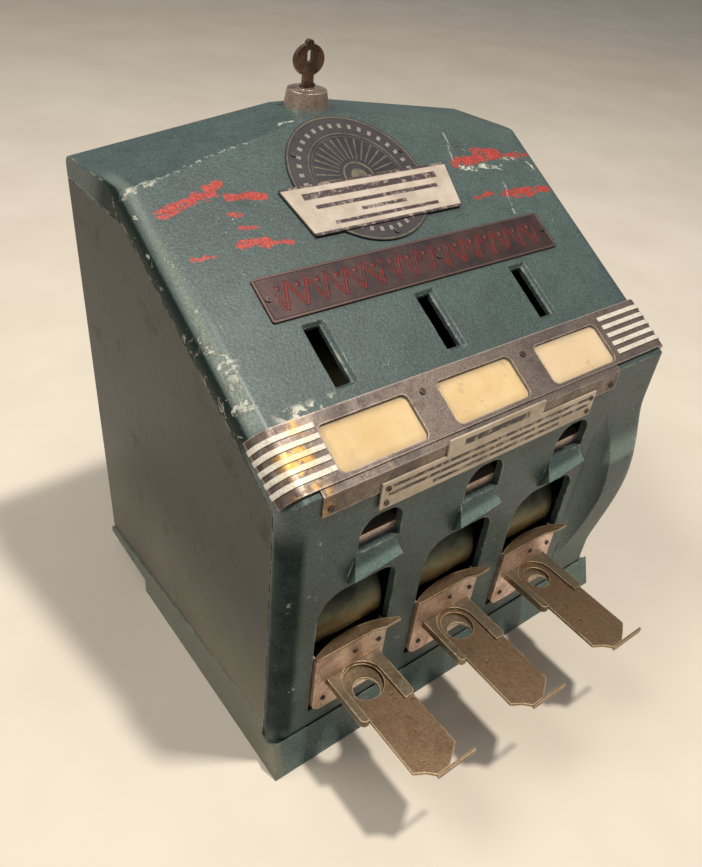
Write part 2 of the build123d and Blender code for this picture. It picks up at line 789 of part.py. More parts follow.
with BuildPart() as directions_rivets:
    with BuildSketch(front_plane(directions_front_y)):
        with Locations((directions_left + 4, directions_foot_z + 4),
                       (directions_right - 4, directions_foot_z + 4),
                       (directions_left + 4, directions_top_z - 4),
                       (directions_right - 4, directions_top_z - 4)):
            Circle(rivet_r)
    extrude(amount=rivet_rise)
keep(directions_rivets, "directions_rivets")

with BuildPart() as name_plate:
    with BuildSketch(panel):
        with Locations(((name_left + name_right) / 2, (name_from + name_to) / 2)):
            RectangleRounded(name_right - name_left, name_to - name_from, 1.5)
    extrude(amount=name_sheet)
keep(name_plate, "name_plate")

name_mid = (name_from + name_to) / 2
with BuildPart() as name_rivets:
    with BuildSketch(panel.offset(name_sheet)):
        with Locations((name_left + 4, name_mid), ((name_left + name_right) / 2 + 14, name_mid),
                       (name_right - 4, name_mid)):
            Circle(rivet_r)
    extrude(amount=rivet_rise)
keep(name_rivets, "name_rivets")

medal_r = (crease_s - medal_gap_top - name_to - medal_gap_low) / 2
medal_s = name_to + medal_gap_low + medal_r
banner_to = medal_s - banner_below
banner_from = banner_to - banner_height
with BuildPart() as medallion:
    with BuildSketch(panel):
        with Locations((medal_x, medal_s)):
            Circle(medal_r)
    extrude(amount=medal_sheet)
keep(medallion, "medallion")

with BuildPart() as banner:
    with BuildSketch(panel.offset(medal_sheet)):
        with BuildLine():
            Polyline((banner_x - banner_top_half, banner_to), (banner_x + banner_top_half, banner_to),
                     (banner_x + banner_foot_half, banner_from), (banner_x - banner_foot_half, banner_from),
                     (banner_x - banner_top_half, banner_to))
        make_face()
    extrude(amount=banner_sheet)
keep(banner, "banner")

with BuildPart() as medallion_rivets:
    with BuildSketch(panel.offset(medal_sheet)):
        with Locations((medal_x, medal_s)):
            for angle in medal_rivet_turns:
                with PolarLocations(medal_r - medal_rivet_inset, 1, start_angle=angle):
                    Circle(rivet_r)
    extrude(amount=rivet_rise)
keep(medallion_rivets, "medallion_rivets")

with BuildPart() as lock_housing:
    with Locations((0, lock_y, roof_top + (lock_height - lock_foot_sink) / 2)):
        Cone(lock_foot_r, lock_rim_r, lock_height + lock_foot_sink)
    add(outer_form, mode=Mode.SUBTRACT)
    with Locations((0, lock_y, (lock_under_z + roof_top) / 2)):
        Cylinder(lock_barrel_r, lock_barrel_drop)
    with Locations((0, lock_y, roof_top)):
        Cylinder(plug_r + plug_play, 80, mode=Mode.SUBTRACT)
keep(lock_housing, "lock_housing")

with BuildPart() as lock_nut:
    with BuildSketch(Plane.XY.offset(roof_top - cover_wall - lock_nut_drop - lock_nut_thick)):
        with Locations((0, lock_y)):
            RegularPolygon(lock_nut_r, 6)
            Circle(lock_barrel_r, mode=Mode.SUBTRACT)
    extrude(amount=lock_nut_thick)
keep(lock_nut, "lock_nut")

with BuildPart() as plate_rivet_set:
    with BuildSketch(front_plane(plate_front_y)):
        with Locations(*[(cx + px, pz) for cx in columns for px, pz in plate_rivets]):
            Circle(rivet_r)
    extrude(amount=rivet_rise)
keep(plate_rivet_set, "plate_rivets")

for number, cx in enumerate(columns, 1):
    left = cx - plate_left
    right = cx + plate_right
    axis_x = cx + slide_axis
    with BuildPart() as face_plate:
        block(left, right, plate_front_y, inner_face_y, plate_foot_z, plate_top_z)
        block(left + plate_turn_sheet, right - plate_turn_sheet, plate_front_y + plate_sheet,
              inner_face_y + 1, plate_foot_z - 1, plate_top_z + 1, mode=Mode.SUBTRACT)
        with BuildSketch(front_plane(plate_front_y - 1)):
            Polygon((left - 1, plate_foot_z - 1), (left + plate_corner, plate_foot_z - 1),
                    (left + plate_corner / 3, plate_foot_z + plate_corner / 3),
                    (left - 1, plate_foot_z + plate_corner), align=None)
        extrude(amount=-cover_wall - plate_ahead - 2, mode=Mode.SUBTRACT)
        block(cx + guide_left_x - plate_play, cx + guide_right_x + plate_play, plate_front_y - 1,
              inner_face_y + 1, guide_low_z - plate_play, guide_top_z + plate_play, mode=Mode.SUBTRACT)
    keep(face_plate, f"face_plate_{number}")
    left_back = (left, plate_front_y + shelf_left_back)
    right_back = (right, plate_front_y + shelf_right_back)
    point_y = plate_front_y - shelf_out[1]
    with BuildPart() as plate_shelf:
        with BuildSketch(Plane.XY.offset(plate_top_z)):
            with BuildLine():
                ThreePointArc(left_back, (cx + shelf_mid[0], plate_front_y + shelf_mid[1]), right_back)
                Polyline(right_back, (cx + shelf_point, point_y + shelf_point_thick),
                         (cx + shelf_point, point_y), (cx + shelf_out[0], point_y),
                         (cx + shelf_step[0], plate_front_y - shelf_step[1]), (left, plate_front_y),
                         left_back)
            make_face()
        extrude(amount=shelf_sheet)
    keep(plate_shelf, f"plate_shelf_{number}")
    with BuildPart() as coin_guide:
        with BuildSketch(Plane.XY.offset(guide_low_z)) as outline:
            with Locations((cx + (guide_left_x + guide_right_x) / 2, (guide_front_y + guide_back_y) / 2)):
                Rectangle(guide_right_x - guide_left_x, guide_back_y - guide_front_y)
            fillet(outline.vertices().group_by(Axis.Y)[0], guide_tip_round)
        extrude(amount=guide_top_z - guide_low_z)
        block(cx - opening_left - flange_side, cx + opening_right + flange_side, inner_face_y,
              inner_face_y + flange_sheet, guide_low_z - flange_rise, guide_top_z + flange_rise)
        slot_left = axis_x - slide_width / 2 - slide_play
        slot_right = axis_x + slide_width / 2 + slide_play
        block(slot_left, slot_right, guide_front_y - 1, guide_back_y + 1, slide_low_z - slide_play,
              slide_top_z + slide_play, mode=Mode.SUBTRACT)
        cut_mid = axis_x + coin_offset
        cut_half = coin_radii[0] + guide_cut_play
        with BuildSketch(Plane.XY.offset(slide_top_z)):
            with Locations((cut_mid, coin_y)):
                Circle(cut_half)
            with Locations((cut_mid, (guide_front_y - 1 + coin_y) / 2)):
                Rectangle(2 * cut_half, coin_y - guide_front_y + 1)
        extrude(amount=guide_top + 2, mode=Mode.SUBTRACT)
        block(slot_left, slot_right, guide_front_y - 1, face_y - coin_ledge_reach, guide_low_z - 1,
              slide_top_z, mode=Mode.SUBTRACT)
        with Locations((cut_mid - sight_left, coin_y - sight_ahead, guide_low_z)):
            Cylinder(sight_r, 4 * guide_floor, mode=Mode.SUBTRACT)
        block(cut_mid - cut_half, cut_mid + cut_half, face_y + drop_from, guide_back_y + 1,
              guide_low_z - 1, slide_low_z, mode=Mode.SUBTRACT)
    keep(coin_guide, f"coin_guide_{number}")
    with BuildPart() as stamp_chute:
        block(cx - outlet_left - chute_side, cx + outlet_right + chute_side, inner_face_y,
              inner_face_y + chute_sheet, outlet_foot_z - chute_under, outlet_foot_z + chute_over)
        block(cx - outlet_left - chute_side, cx + outlet_right + chute_side, inner_face_y,
              inner_face_y + 16, outlet_foot_z + chute_over - chute_sheet, outlet_foot_z + chute_over)
    keep(stamp_chute, f"stamp_chute_{number}")

ear_xs = [cx - opening_left - ear_beside for cx in columns] + [columns[-1] + opening_right + ear_beside]
with BuildPart() as drum_brackets:
    for ear_x in ear_xs:
        block(ear_x - ear_sheet / 2, ear_x + ear_sheet / 2, inner_face_y, drum_y, drum_z - ear_half,
              drum_z + ear_half)
        cylinder_x(ear_x - ear_sheet / 2, ear_x + ear_sheet / 2, drum_y, drum_z, ear_half)
        cylinder_x(ear_x - ear_sheet, ear_x + ear_sheet, drum_y, drum_z, drum_shaft_r, Mode.SUBTRACT)
keep(drum_brackets, "drum_brackets")

with BuildPart() as drum_shaft:
    cylinder_x(ear_xs[0] - 2, ear_xs[-1] + 2, drum_y, drum_z, drum_shaft_r)
keep(drum_shaft, "drum_shaft")

# ================================================================ lock body
plug_top_z = roof_top + lock_height + plug_over
with BuildPart() as lock_plug:
    with Locations((0, lock_y, (cam_top_z + plug_top_z) / 2)):
        Cylinder(plug_r, plug_top_z - cam_top_z)
    block(-key_blade_half, key_blade_half, lock_y - key_thick / 2, lock_y + key_thick / 2,
          plug_top_z - key_blade_drop, plug_top_z + 1, mode=Mode.SUBTRACT)
keep(lock_plug, "lock_plug")

with BuildPart() as lock_cam:
    block(-cam_width / 2, cam_reach, lock_y - cam_width / 2, lock_y + cam_width / 2,
          cam_top_z - cam_thick, cam_top_z)
    fillet(lock_cam.edges().filter_by(Axis.Z), 4)
keep(lock_cam, "lock_cam")

bow_z = plug_top_z + key_neck_rise
with BuildPart() as key:
    with BuildSketch(front_plane(lock_y + key_thick / 2)):
        with Locations((0, (plug_top_z - key_blade_drop + plug_top_z) / 2)):
            Rectangle(2 * key_blade_half, key_blade_drop)
        with Locations((0, plug_top_z + key_neck_rise / 2 + 1)):
            Rectangle(2 * key_neck_half, key_neck_rise + 2)
        with Locations((0, plug_top_z + 1.4)):
            Rectangle(2 * key_collar_half, 2.0)
        with Locations((0, bow_z + key_bow_height / 2)):
            Ellipse(key_bow_half, key_bow_height / 2)
        with Locations((0, bow_z + key_bow_height)):
            Ellipse(key_crown, key_crown / 1.3)
        with Locations((0, bow_z + key_bow_height * 0.62)):
            SlotOverall(key_hole_height, 2 * key_hole_half, rotation=90, mode=Mode.SUBTRACT)
    extrude(amount=key_thick)
keep(key, "key")

# ================================================================ moving slides and drums
for number, cx in enumerate(columns, 1):
    axis_x = cx + slide_axis
    half = slide_width / 2
    inner_end_y = inner_face_y + slide_inside
    with BuildPart() as coin_slide:
        with BuildSketch(Plane.XY.offset(slide_low_z)):
            with BuildLine():
                Polyline((axis_x - half, inner_end_y), (axis_x - half, slide_front_y + tip_left),
                         (axis_x - half + tip_notch[0], slide_front_y + tip_notch[1]),
                         (axis_x - half + tip_point, slide_front_y),
                         (axis_x - half + tip_flat, slide_front_y),
                         (axis_x - half + tip_right[0], slide_front_y + tip_right[1]),
                         (axis_x + half, slide_front_y + tip_shoulder), (axis_x + half, inner_end_y),
                         (axis_x - half, inner_end_y))
            make_face()
            with Locations((axis_x + coin_offset, coin_y)):
                Circle(coin_radii[number - 1], mode=Mode.SUBTRACT)
        extrude(amount=slide_sheet)
    keep(coin_slide, f"coin_slide_{number}")
    with BuildPart() as finger_tab:
        block(cx + finger_left, cx + finger_right, slide_front_y - finger_sheet, slide_front_y,
              slide_low_z - finger_under, slide_top_z + finger_over)
    keep(finger_tab, f"finger_tab_{number}")
    drum_left = cx - opening_left + drum_side
    drum_right = cx + opening_right - drum_side
    with BuildPart() as feed_drum:
        cylinder_x(drum_left, drum_right, drum_y, drum_z, drum_r)
        cylinder_x(drum_left - 1, drum_right + 1, drum_y, drum_z, drum_shaft_r + drum_play, Mode.SUBTRACT)
    keep(feed_drum, f"feed_drum_{number}")

os.makedirs("parts", exist_ok=True)
for solid in parts:
    export_step(solid, f"parts/{solid.label}.step")
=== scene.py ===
import json
import math

import bpy
from mathutils import Matrix, Vector

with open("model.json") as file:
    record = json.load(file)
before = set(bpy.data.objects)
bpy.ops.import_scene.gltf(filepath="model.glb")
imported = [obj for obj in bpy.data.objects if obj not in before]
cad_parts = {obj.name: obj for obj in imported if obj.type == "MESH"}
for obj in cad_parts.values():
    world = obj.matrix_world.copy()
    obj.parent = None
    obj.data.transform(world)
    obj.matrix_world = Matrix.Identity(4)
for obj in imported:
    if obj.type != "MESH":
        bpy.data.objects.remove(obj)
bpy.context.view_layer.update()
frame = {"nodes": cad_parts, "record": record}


# Places on the part, in metres: X to the right, the front at -Y, Z up.
PANEL_ANGLE = math.radians(29.3)
PANEL_FOOT_Y = -0.126
PANEL_FOOT_Z = 0.2253
CASE_SIDE = -0.1535
CORNER_LOW = 0.030
CORNER_HIGH = 0.208
RAMP_LOW = 0.148
RAMP_HIGH = 0.178
# heights of the painted bounce light low on the left side
BOUNCE_FULL = 0.035
BOUNCE_NONE = 0.150
# heights of the painted reflection low on the drums
DRUM_GLOW_FULL = 0.100
DRUM_GLOW_NONE = 0.124

# Places on the sloping panel, in metres: across it, and up the slope from its foot.
MEDAL_ACROSS = -0.005
MEDAL_UP = 0.185
CRUMBS = (-0.094, 0.166)
CRUMBS_RADIUS = 0.018
CARD_LOW = 0.0185
CARD_HIGH = 0.0410
EDGE_LOW = 0.050
EDGE_HIGH = 0.225

# Worn strokes on the panel: start across and up, end across and up, half width.
RED_STROKES = (
    (-0.139, 0.1825, -0.098, 0.1955, 0.0030), (-0.131, 0.1850, -0.104, 0.1900, 0.0022),
    (-0.097, 0.1862, -0.075, 0.1842, 0.0024), (-0.104, 0.1552, -0.088, 0.1540, 0.0026),
    (-0.091, 0.1525, -0.073, 0.1512, 0.0013), (-0.099, 0.1650, -0.090, 0.1645, 0.0014),
    (-0.135, 0.1520, -0.121, 0.1512, 0.0009), (-0.101, 0.1745, -0.094, 0.1740, 0.0010),
    (0.075, 0.1830, 0.118, 0.1850, 0.0034), (0.097, 0.1905, 0.112, 0.1870, 0.0028),
    (0.112, 0.1835, 0.142, 0.1795, 0.0020), (0.073, 0.1540, 0.090, 0.1545, 0.0012),
    (0.100, 0.1530, 0.140, 0.1500, 0.0026), (0.104, 0.1500, 0.128, 0.1478, 0.0014))
PALE_STROKES = (
    (0.078, 0.1790, 0.088, 0.1765, 0.0022), (0.095, 0.1775, 0.112, 0.1735, 0.0022),
    (0.118, 0.1800, 0.130, 0.1775, 0.0012), (0.139, 0.1740, 0.142, 0.1620, 0.0008),
    (-0.134, 0.2040, -0.100, 0.2135, 0.0008), (-0.098, 0.2150, -0.067, 0.2215, 0.0008),
    (-0.150, 0.2010, -0.135, 0.2035, 0.0024), (-0.036, 0.2335, -0.027, 0.2350, 0.0014),
    (0.082, 0.2080, 0.075, 0.1840, 0.0005), (0.106, 0.1620, 0.097, 0.1360, 0.0005))


# ------------------------------------------------------------------ material kit
def rgb(r, g, b):
    """Linear colour from 0-255 sRGB."""
    def lin(v):
        v /= 255
        return v / 12.92 if v <= 0.04045 else ((v + 0.055) / 1.055) ** 2.4
    return (lin(r), lin(g), lin(b))


def shade(colour, factor):
    return [c * factor for c in colour]


class Mat:
    """A Principled material whose nodes are made and joined by short calls."""

    def __init__(self, name):
        self.mat = bpy.data.materials.new(name)
        self.mat.use_nodes = True
        self.tree = self.mat.node_tree
        self.bsdf = self.tree.nodes["Principled BSDF"]
        self.pos = self.node("ShaderNodeTexCoord").outputs["Object"]

    def node(self, kind, **props):
        made = self.tree.nodes.new(kind)
        for key, value in props.items():
            setattr(made, key, value)
        return made

    def put(self, socket, value):
        """Link a socket into another, or set its plain value."""
        if isinstance(value, bpy.types.NodeSocket):
            self.tree.links.new(value, socket)
        elif isinstance(value, (tuple, list)) and len(value) == 3 and socket.type == "RGBA":
            socket.default_value = (*value, 1)
        else:
            socket.default_value = value

    def set(self, **inputs):
        """Set inputs of the shader: Base_Color stands for Base Color."""
        for key, value in inputs.items():
            self.put(self.bsdf.inputs[key.replace("_", " ")], value)

    # arithmetic
    def math(self, op, a, b=0.0, clamp=False):
        made = self.node("ShaderNodeMath", operation=op, use_clamp=clamp)
        self.put(made.inputs[0], a)
        self.put(made.inputs[1], b)
        return made.outputs[0]

    def plus(self, a, b):
        return self.math("ADD", a, b)

    def less(self, a, b, clamp=False):
        return self.math("SUBTRACT", a, b, clamp)

    def times(self, first, *others):
        for other in others:
            first = self.math("MULTIPLY", first, other)
        return first

    def most(self, first, *others):
        for other in others:
            first = self.math("MAXIMUM", first, other)
        return first

    def inverse(self, value):
        return self.less(1.0, value)

    def hypot(self, a, b):
        """Length of a vector with the parts a and b."""
        return self.math("SQRT", self.plus(self.times(a, a), self.times(b, b)))

    def step(self, value, low, high):
        """0 at low and 1 at high, with a smooth rise between."""
        made = self.node("ShaderNodeMapRange", interpolation_type="SMOOTHSTEP")
        self.put(made.inputs["Value"], value)
        self.put(made.inputs["From Min"], low)
        self.put(made.inputs["From Max"], high)
        return made.outputs["Result"]

    def below(self, value, full, none):
        """1 under full and 0 over none, with a smooth rise between."""
        return self.step(self.times(value, -1), -none, -full)

    def band(self, value, low, high, soft):
        """1 between low and high, fading over soft at each side."""
        rise = self.step(value, low - soft, low + soft)
        return self.times(rise, self.inverse(self.step(value, high - soft, high + soft)))

    # mixing
    def mix(self, fac, a, b):
        made = self.node("ShaderNodeMix", data_type="RGBA")
        self.put(made.inputs["Factor"], fac)
        colours = [s for s in made.inputs if s.type == "RGBA"]
        self.put(colours[0], a)
        self.put(colours[1], b)
        return [s for s in made.outputs if s.type == "RGBA"][0]

    def lay(self, colour, over, mask, weight):
        """Lay another colour over this one where the mask is, at a weight."""
        return self.mix(self.times(mask, weight), colour, over)

    def between(self, fac, a, b):
        """Plain value a where fac is 0 and b where it is 1."""
        made = self.node("ShaderNodeMix", data_type="FLOAT")
        floats = [s for s in made.inputs if s.type == "VALUE"]
        self.put(floats[0], fac)
        self.put(floats[1], a)
        self.put(floats[2], b)
        return [s for s in made.outputs if s.type == "VALUE"][0]

    # places
    def axes(self):
        made = self.node("ShaderNodeSeparateXYZ")
        self.put(made.inputs[0], self.pos)
        return made.outputs[0], made.outputs[1], made.outputs[2]

    def panel(self):
        """Coordinates on the sloping panel: across and up the slope."""
        x, y, z = self.axes()
        up = self.plus(self.times(self.less(y, PANEL_FOOT_Y), math.cos(PANEL_ANGLE)),
                       self.times(self.less(z, PANEL_FOOT_Z), math.sin(PANEL_ANGLE)))
        return x, up

    def oval(self, x, y, centre, radius, soft=0.4):
        dx = self.math("DIVIDE", self.less(x, centre[0]), radius)
        dy = self.math("DIVIDE", self.less(y, centre[1]), radius)
        return self.inverse(self.step(self.hypot(dx, dy), 1 - soft, 1 + soft))

    def stroke(self, x, y, x0, y0, x1, y1, half, soft):
        """1 within half of a straight stroke, fading over soft."""
        length = math.hypot(x1 - x0, y1 - y0)
        along_x = (x1 - x0) / length
        along_y = (y1 - y0) / length
        dx = self.less(x, x0)
        dy = self.less(y, y0)
        run = self.plus(self.times(dx, along_x), self.times(dy, along_y))
        past = self.less(self.math("ABSOLUTE", self.less(run, length / 2)), length / 2)
        past = self.math("MAXIMUM", past, 0.0)
        off = self.less(self.times(dx, along_y), self.times(dy, along_x))
        return self.inverse(self.step(self.hypot(off, past), half - soft, half + soft))

    # textures
    def scaled(self, scale):
        made = self.node("ShaderNodeMapping")
        self.put(made.inputs["Vector"], self.pos)
        made.inputs["Scale"].default_value = scale
        return made.outputs[0]

    def noise(self, scale, detail=3.0, rough=0.55, vector=None, warp=0.0):
        made = self.node("ShaderNodeTexNoise")
        self.put(made.inputs["Vector"], vector or self.pos)
        made.inputs["Scale"].default_value = scale
        made.inputs["Detail"].default_value = detail
        made.inputs["Roughness"].default_value = rough
        made.inputs["Distortion"].default_value = warp
        return made.outputs["Fac"]

    def pebbles(self, scale):
        made = self.node("ShaderNodeTexVoronoi", feature="SMOOTH_F1")
        self.put(made.inputs["Vector"], self.pos)
        made.inputs["Scale"].default_value = scale
        return made.outputs["Distance"]

    # relief
    def rounded_normal(self, radius, samples):
        made = self.node("ShaderNodeBevel", samples=samples)
        made.inputs["Radius"].default_value = radius
        return made.outputs[0]

    def bump(self, height, distance, strength, soften=0.0):
        """Relief of a height, with the edges rounded by soften."""
        made = self.node("ShaderNodeBump")
        made.inputs["Strength"].default_value = strength
        made.inputs["Distance"].default_value = distance
        self.put(made.inputs["Height"], height)
        if soften:
            self.put(made.inputs["Normal"], self.rounded_normal(soften, 4))
        return made.outputs[0]

    def edges(self, radius, low, high):
        """1 along sharp edges."""
        flat = self.node("ShaderNodeNewGeometry").outputs["Normal"]
        dot = self.node("ShaderNodeVectorMath", operation="DOT_PRODUCT")
        self.put(dot.inputs[0], self.rounded_normal(radius, 6))
        self.put(dot.inputs[1], flat)
        return self.step(self.inverse(dot.outputs["Value"]), low, high)


# ------------------------------------------------------------------ enamel paint
class Enamel(Mat):
    """Hammered enamel: the base colour, and the masks that the marks on it share."""

    def __init__(self, name, light, dark):
        super().__init__(name)
        self.broad = self.noise(9, 4, 0.6)
        self.mottle = self.noise(85, 4, 0.62)
        self.fine = self.noise(760, 2, 0.6)
        grain = self.noise(900, 3, 0.65)
        # bright specks in the colour: painted glints of the hammered finish
        painted_glints = self.step(self.noise(1150, 2, 0.6), 0.60, 0.70)
        self.grime = self.times(self.step(self.noise(26, 6, 0.7), 0.54, 0.78), 0.45)
        colour = self.mix(self.step(self.broad, 0.3, 0.7), dark, light)
        colour = self.lay(colour, shade(dark, 0.72), self.step(self.mottle, 0.42, 0.68), 0.4)
        colour = self.lay(colour, shade(dark, 0.40), self.step(grain, 0.54, 0.40), 0.55)
        colour = self.lay(colour, shade(light, 1.55), self.step(self.fine, 0.50, 0.66), 0.34)
        colour = self.lay(colour, shade(light, 2.0), painted_glints, 0.45)
        self.colour = self.mix(self.grime, colour, [dark[0] * 0.50, dark[1] * 0.42, dark[2] * 0.38])
        pits = self.step(self.noise(210, 4, 0.7, warp=1.0), 0.68, 0.71)
        self.pits = self.times(pits, self.step(self.noise(8, 2), 0.52, 0.66))
        # pale rubbed paint along sharp edges, which also serves as a painted highlight on those edges
        self.rub_and_edge_highlight = self.times(self.edges(0.0020, 0.02, 0.14), self.step(self.noise(90, 4, 0.7), 0.46, 0.60))

    def finish(self, chips, gloss, coat):
        """Lay the chips on, add the hammered relief and close the material."""
        bare = self.mix(self.step(self.mottle, 0.35, 0.6), rgb(206, 208, 192), rgb(158, 160, 146))
        hammer = self.plus(self.times(self.noise(560, 3, 0.55), 0.9), self.times(self.pebbles(520), 0.45))
        height = self.less(hammer, self.times(chips, 0.5))
        self.set(Base_Color=self.mix(chips, self.colour, bare), Metallic=0.10,
                 Roughness=self.plus(0.47, self.times(self.grime, 0.5)), Specular_IOR_Level=gloss,
                 Normal=self.bump(height, 0.00024, 0.6, soften=0.0012),
                 Coat_Weight=coat, Coat_Roughness=0.24)
        return self.mat


def side_enamel(name, light, dark):
    """Enamel of the case and the base, lighter in patches low on the left side: painted bounce light from the
    floor.
    """
    m = Enamel(name, light, dark)
    x, _, z = m.axes()
    patches = m.between(m.step(m.broad, 0.35, 0.65), 0.7, 0.4)
    on_side = m.below(x, CASE_SIDE + 0.0005, CASE_SIDE + 0.0045)
    # lighter low on the left side, in patches: painted bounce light from the floor
    floor_bounce = m.times(m.inverse(m.step(z, BOUNCE_FULL, BOUNCE_NONE)), patches, on_side)
    m.colour = m.mix(floor_bounce, m.colour, rgb(128, 124, 106))
    return m.finish(m.most(m.pits, m.times(m.rub_and_edge_highlight, 0.45)), 0.5, 0.06)


def lay_strokes(m, across, up):
    """Lay smeared red strokes on the colour. Gives the mask of the bare scratches and crumbs among them."""
    sideways = m.times(m.less(m.noise(170, 3, 0.6), 0.5), 0.008)
    lengthways = m.times(m.less(m.noise(140, 4, 0.7), 0.5), 0.010)
    ragged = (m.plus(across, sideways), m.plus(up, lengthways))
    red = m.most(*[m.stroke(*ragged, *ends, 0.0007) for ends in RED_STROKES])
    red = m.times(red, m.step(m.noise(320, 3, 0.7, vector=m.scaled((0.4, 1, 1))), 0.36, 0.46))
    m.colour = m.mix(red, m.colour, m.mix(m.step(m.fine, 0.42, 0.6), rgb(146, 44, 34), rgb(192, 66, 50)))
    pale = m.most(*[m.stroke(*ragged, *ends, 0.0006) for ends in PALE_STROKES])
    pale = m.times(pale, m.step(m.noise(300, 4, 0.75), 0.47, 0.53))
    crumbs = m.times(m.oval(across, up, CRUMBS, CRUMBS_RADIUS), m.step(m.noise(360, 3, 0.7), 0.665, 0.69))
    return m.most(pale, crumbs)


def edge_wear(m, across, up):
    """Masks of the chips on the panel's left edge and above the strip, and of the ring round the first."""
    left = m.below(across, -0.1500, -0.134)
    low_edge = m.band(up, 0.052, 0.118, 0.012)
    high_edge = m.band(up, 0.118, 0.215, 0.012)
    worn = m.noise(95, 7, 0.74, warp=0.8)
    level = m.less(0.74, m.plus(m.times(low_edge, 0.180), m.times(high_edge, 0.128)))
    over = m.less(worn, level)
    chips = m.times(left, m.step(over, 0.0, 0.014))
    ring = m.times(left, m.less(m.step(over, -0.035, -0.005), chips, clamp=True))
    by_strip = m.times(m.band(up, 0.0505, 0.0580, 0.0018), m.band(across, -0.136, -0.098, 0.004),
                       m.step(worn, 0.50, 0.53))
    return m.most(chips, by_strip), ring


def cover_enamel(name, light, dark):
    """Enamel of the cover, with the wear of this one machine."""
    m = Enamel(name, light, dark)
    _, y, z = m.axes()
    across, up = m.panel()
    scratches = lay_strokes(m, across, up)
    chips, ring = edge_wear(m, across, up)
    front = m.below(y, -0.1150, -0.1120)
    drops = m.times(front, m.step(m.noise(150, 5, 0.75), 0.655, 0.675), m.step(m.noise(12, 2), 0.45, 0.6))
    corner = m.times(m.below(across, CASE_SIDE + 0.0085, CASE_SIDE + 0.0150), m.below(y, -0.1085, -0.1030),
                     m.band(z, CORNER_LOW, CORNER_HIGH, 0.012))
    # pale edges: rubbed paint and painted edge highlights, kept off the corner
    rubbed_and_highlit = m.times(m.rub_and_edge_highlight, 0.75, m.inverse(corner))
    # paler ramps, where they jut out under the stamp outlets
    ramp = m.times(m.below(y, -0.1235, -0.1205), m.band(z, RAMP_LOW, RAMP_HIGH, 0.003))
    m.colour = m.lay(m.colour, rgb(136, 162, 152), ramp, m.between(m.step(m.fine, 0.35, 0.6), 0.75, 0.40))
    # the left edge of the panel: a painted sheen band, and a painted dark shade line along the seam outside
    # it
    edge_sheen = m.times(m.band(across, CASE_SIDE + 0.0027, CASE_SIDE + 0.0090, 0.0022),
                    m.band(up, EDGE_LOW, EDGE_HIGH, 0.010), m.between(m.step(up, 0.070, 0.190), 1.0, 0.45))
    m.colour = m.lay(m.colour, rgb(178, 190, 174), edge_sheen, m.between(m.step(m.fine, 0.3, 0.6), 0.62, 0.30))
    seam_shade = m.times(m.below(across, CASE_SIDE + 0.0013, CASE_SIDE + 0.0023),
                   m.band(up, EDGE_LOW - 0.005, EDGE_HIGH, 0.010))
    m.colour = m.lay(m.colour, rgb(22, 38, 34), seam_shade, 0.85)
    # painted shade down the front left corner, with a few painted glints
    corner_shade = m.between(m.step(m.noise(60, 5, 0.7), 0.35, 0.6), 0.95, 0.70)
    m.colour = m.lay(m.colour, rgb(12, 30, 30), corner, corner_shade)
    corner_glints = m.times(corner, m.step(m.noise(620, 3, 0.7), 0.66, 0.72))
    m.colour = m.lay(m.colour, rgb(120, 134, 122), corner_glints, 0.6)
    m.colour = m.lay(m.colour, rgb(62, 50, 34), ring, 0.6)
    gloss = m.between(m.most(corner, seam_shade), 0.5, 0.06)
    chips = m.most(m.times(m.pits, 0.8), chips, scratches, drops, rubbed_and_highlit)
    return m.finish(chips, gloss, m.times(gloss, 0.16))


# ------------------------------------------------------------------ metals
def metal(name, light, dark, rough, grain=(1, 1, 1), stain=0.5, metallic=0.9, edge=0.0, reflection_tint=None, shine_colour=None):
    """Worn plated metal: tarnish, scratches, specks and stains, painted highlights on the edges (partly
    wear), and at the left end darker patches and a painted warm reflection.
    """
    m = Mat(name)
    cloud = m.noise(38, 6, 0.68, warp=0.5)
    lines = m.noise(320, 3, 0.6, vector=m.scaled(grain))
    speck = m.noise(700, 3, 0.7)
    spots = m.step(m.noise(170, 5, 0.72), 0.60, 0.68)
    colour = m.mix(m.step(cloud, 0.35, 0.68), light, dark)
    colour = m.lay(colour, shade(light, 1.3), m.step(lines, 0.4, 0.7), 0.14)
    colour = m.lay(colour, shade(dark, 0.5), m.step(speck, 0.54, 0.38), 0.40)
    colour = m.lay(colour, shade(dark, 0.35), spots, stain)
    if reflection_tint:
        x = m.axes()[0]
        # towards the left end: darker patches, and a painted warm reflection
        dusk = m.times(m.below(x, -0.134, -0.116), m.step(m.noise(55, 5, 0.7), 0.40, 0.56))
        warm_reflection = m.times(m.band(x, -0.1475, -0.1290, 0.0045), m.step(m.noise(75, 4, 0.7), 0.44, 0.60))
        colour = m.lay(colour, rgb(58, 44, 36), dusk, 0.7 * metallic)
        colour = m.lay(colour, reflection_tint, warm_reflection, 0.8)
    if edge:
        # light along the edges: painted highlights, partly edge wear
        painted_shine = m.times(m.edges(0.0015, 0.02, 0.14), m.step(m.noise(80, 4, 0.7), 0.30, 0.52))
        colour = m.lay(colour, shine_colour or [min(1.0, c * 1.9 + 0.10) for c in light], painted_shine, edge)
    m.set(Base_Color=colour, Metallic=metallic,
          Roughness=m.plus(rough, m.times(m.step(cloud, 0.3, 0.7), 0.22)),
          Normal=m.bump(m.plus(lines, m.times(spots, -0.7)), 0.00012, 0.7, soften=0.0005))
    return m.mat


